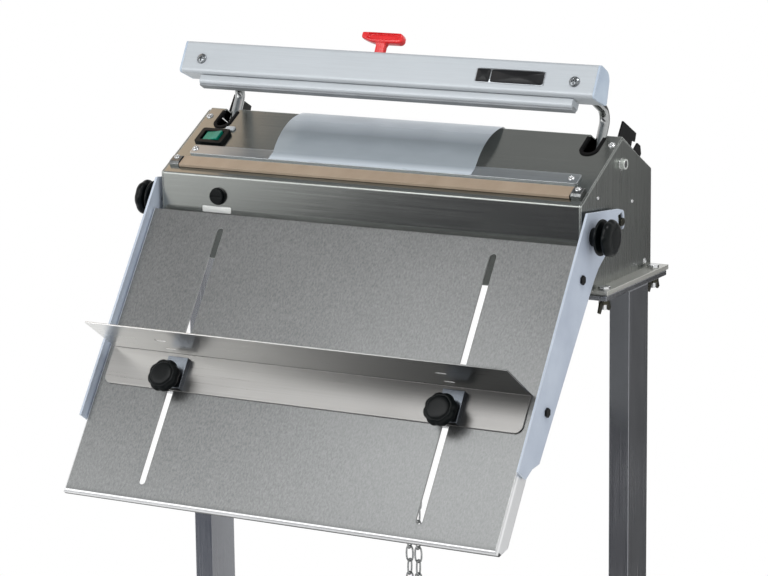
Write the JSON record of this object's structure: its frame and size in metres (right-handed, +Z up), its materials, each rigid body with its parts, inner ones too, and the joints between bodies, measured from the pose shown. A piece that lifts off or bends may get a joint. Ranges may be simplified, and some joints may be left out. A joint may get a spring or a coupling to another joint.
{
  "type": "impulse heat sealer",
  "caption": "Pedal-operated impulse heat sealer on a two-leg stand, with a hinged sealing arm, a sloping plate and a tilting slotted worktable with a sliding product stop.",
  "frame": {"origin": "on the floor, in the middle between the two feet", "axes": "+Z up, +X to the operator's right, the operator stands on the -Y side"},
  "size_m": [0.59, 0.54, 1.0606],
  "materials": {
    "housing_steel": "brushed",
    "arm_aluminium": "satin",
    "plated_steel": "bright",
    "table_steel": "brushed",
    "pale_enamel": "satin",
    "stand_steel": "brushed",
    "black_enamel": "satin",
    "black_plastic": "gloss",
    "cap_plastic": "matt",
    "red_plastic": "gloss",
    "green_plastic": "gloss",
    "tan_cloth": "matt",
    "black_rubber": "matt",
    "silicone": "matt",
    "insulator": "matt",
    "element_alloy": "bright",
    "bush_brass": "satin",
    "soft_iron": "satin",
    "board": "matt",
    "clear_film": "clear"
  },
  "bodies": {
    "base": {"housing_cover": "housing_steel", "side_panel_left": "housing_steel", "side_panel_right": "housing_steel", "base_plate": "housing_steel", "film_guide_strip": "arm_aluminium", "cover_screws": "plated_steel", "table_guide_bolts": "plated_steel", "leg_bolts": "plated_steel", "wing_nuts": "plated_steel", "return_springs": "plated_steel", "mount_bars": "stand_steel", "leg_left": "stand_steel", "leg_right": "stand_steel", "foot_left": "stand_steel", "foot_right": "stand_steel", "cross_bar": "stand_steel", "pedal_hinge": "stand_steel", "film_brackets": "black_enamel", "switch_frame": "black_plastic", "fuse_holder": "black_plastic", "ptfe_strip": "tan_cloth", "slot_liners": "black_rubber", "foot_caps": "black_rubber", "seal_base_bar": "insulator", "element_clamps": "insulator", "heating_element": "element_alloy", "shaft_bushes": "bush_brass", "holding_magnets": "soft_iron", "transformer": "soft_iron", "control_board": "board", "microswitch": "board", "film_sheet": "clear_film"},
    "arm": {"main_shaft": "plated_steel", "lever_rods": "plated_steel", "sealing_arm": "arm_aluminium", "arm_end_caps": "cap_plastic", "jaw_bar": "arm_aluminium", "silicone_strip": "silicone", "arm_handle": "red_plastic", "arm_screws": "plated_steel", "pedal_crank": "plated_steel", "armatures": "soft_iron", "shaft_caps": "plated_steel"},
    "rocker": {"rocker": "green_plastic"},
    "fuse_cap": {"fuse_cap": "black_plastic"},
    "chain": {"pull_chain": "plated_steel"},
    "pedal": {"pedal_lever": "stand_steel", "pedal_tread": "black_rubber"},
    "table": {"table_panel": "table_steel", "side_arm_left": "pale_enamel", "side_arm_right": "pale_enamel", "table_screws": "black_enamel"},
    "stop": {"stop_angle": "table_steel", "stop_clips": "plated_steel", "stop_nuts": "plated_steel"},
    "star_knob_left": {"star_knob_left": "black_plastic"},
    "star_knob_right": {"star_knob_right": "black_plastic"},
    "side_knob_left": {"side_knob_left": "black_plastic"},
    "side_knob_right": {"side_knob_right": "black_plastic"}
  },
  "joints": [
    {"name": "arm_hinge", "type": "hinge", "parent": "base", "child": "arm", "pos_m": [0, 0.05501, 0.92977], "axis": [1, 0, 0], "range_deg": [0, 57.9], "stiffness_Nm_per_rad": 3, "springref_deg": -57.3},
    {"name": "chain_hinge", "type": "hinge", "parent": "arm", "child": "chain", "pos_m": [0.0235, 0.01808, 0.92326], "axis": [1, 0, 0], "range_deg": [-60, 1]},
    {"name": "pedal_hinge", "type": "hinge", "parent": "base", "child": "pedal", "pos_m": [0.029, 0.1, 0.12], "axis": [1, 0, 0], "range_deg": [-0.5, 19.3]},
    {"name": "rocker_tip", "type": "hinge", "parent": "base", "child": "rocker", "pos_m": [-0.227, 0.01291, 0.93063], "axis": [0, 0.8767, 0.481], "range_deg": [0, 14]},
    {"name": "fuse_cap_turn", "type": "hinge", "parent": "base", "child": "fuse_cap", "pos_m": [-0.1856, -0.045, 0.8774], "axis": [0, 1, 0], "range_deg": [0, 45]},
    {"name": "table_tilt", "type": "hinge", "parent": "base", "child": "table", "pos_m": [0, -0.034, 0.86672], "axis": [1, 0, 0], "range_deg": [-3, 6]},
    {"name": "stop_slide", "type": "slide", "parent": "table", "child": "stop", "axis": [0, -0.5664, -0.8241], "range_m": [-0.15, 0.105]},
    {"name": "star_knob_left_turn", "type": "hinge", "parent": "stop", "child": "star_knob_left", "pos_m": [-0.169, -0.17245, 0.69335], "axis": [0, -0.8241, 0.5664], "continuous": true},
    {"name": "side_knob_left_turn", "type": "hinge", "parent": "base", "child": "side_knob_left", "pos_m": [-0.268, -0.034, 0.86672], "axis": [-1, 0, 0], "continuous": true},
    {"name": "star_knob_right_turn", "type": "hinge", "parent": "stop", "child": "star_knob_right", "pos_m": [0.169, -0.17245, 0.69335], "axis": [0, -0.8241, 0.5664], "continuous": true},
    {"name": "side_knob_right_turn", "type": "hinge", "parent": "base", "child": "side_knob_right", "pos_m": [0.268, -0.034, 0.86672], "axis": [1, 0, 0], "continuous": true}
  ],
  "couplings": [
    {"joint": "chain_hinge", "follows": "arm_hinge", "ratio": -1.032},
    {"joint": "pedal_hinge", "follows": "arm_hinge", "ratio": 0.33}
  ]
}
